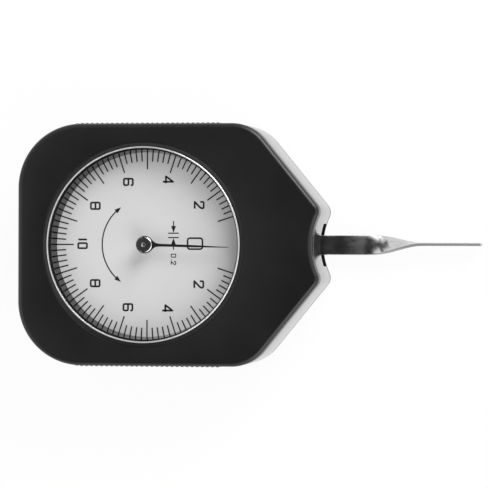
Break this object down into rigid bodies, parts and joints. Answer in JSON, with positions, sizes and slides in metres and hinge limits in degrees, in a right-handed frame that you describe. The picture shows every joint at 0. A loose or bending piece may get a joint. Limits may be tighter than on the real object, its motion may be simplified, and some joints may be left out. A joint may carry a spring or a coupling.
{
  "type": "dial tension gauge",
  "caption": "Hand-held dial gauge with a twisted flat steel feeler on a pivoted lever that turns a pointer over a round dial under a clear crystal.",
  "frame": {"origin": "on the pointer's axis, on the flat rear face of the rear cover", "axes": "+X along the feeler towards its tip, +Z out of the dial, +Y to the dial's left as seen from the front with the feeler to the right"},
  "size_m": [0.1215, 0.0648, 0.0254],
  "materials": {
    "black_moulding": "fine satin moulded black",
    "polished_metal": "bright plated and polished",
    "spring_steel": "ground and polished steel",
    "black_steel": "black lacquer",
    "brass": "bright machined brass",
    "blued_spring": "heat-blued spring strip",
    "dial_white": "fine matt white with black print",
    "crystal": "clear",
    "gasket_rubber": "black"
  },
  "bodies": {
    "case": {"front_cover": "black_moulding", "side_frame": "polished_metal", "rear_cover": "black_moulding", "cover_screw_1": "spring_steel", "cover_screw_2": "spring_steel", "cover_screw_3": "spring_steel", "cover_screw_4": "spring_steel", "bezel_ring": "polished_metal", "crystal": "crystal", "crystal_gasket": "gasket_rubber", "dial_plate": "dial_white", "main_plate": "brass", "rear_bridge": "brass", "bridge_pillar_1": "brass", "bridge_pillar_2": "brass", "bridge_pillar_3": "brass", "bridge_screw_1": "spring_steel", "bridge_screw_2": "spring_steel", "bridge_screw_3": "spring_steel", "movement_screw_1": "spring_steel", "movement_screw_2": "spring_steel", "movement_screw_3": "spring_steel", "pointer_bush_front": "brass", "pointer_bush_rear": "brass", "lever_bush_front": "brass", "lever_bush_rear": "brass", "stop_pin_1": "spring_steel", "stop_pin_2": "spring_steel", "measuring_spring": "blued_spring", "measuring_spring_stud": "brass", "hairspring": "blued_spring", "hairspring_stud": "brass"},
    "lever": {"lever_arbor": "spring_steel", "lever_arm": "brass", "sector_gear": "brass", "feeler": "spring_steel", "feeler_screw_1": "spring_steel", "feeler_screw_2": "spring_steel", "measuring_spring_collet": "brass"},
    "pointer": {"pointer_arbor": "spring_steel", "pinion": "spring_steel", "hairspring_collet": "brass", "pointer": "black_steel", "pointer_boss": "polished_metal", "pointer_cap": "black_steel"}
  },
  "joints": [
    {"name": "feeler_swing", "type": "hinge", "parent": "case", "child": "lever", "pos_m": [0.0288, 0, 0], "axis": [0, 0, 1], "range_deg": [-9, 9], "stiffness_Nm_per_rad": 0.036},
    {"name": "pointer_turn", "type": "hinge", "parent": "case", "child": "pointer", "pos_m": [0, 0, 0], "axis": [0, 0, 1], "range_deg": [-180, 180]}
  ],
  "couplings": [
    {"joint": "pointer_turn", "follows": "feeler_swing", "ratio": -20}
  ]
}
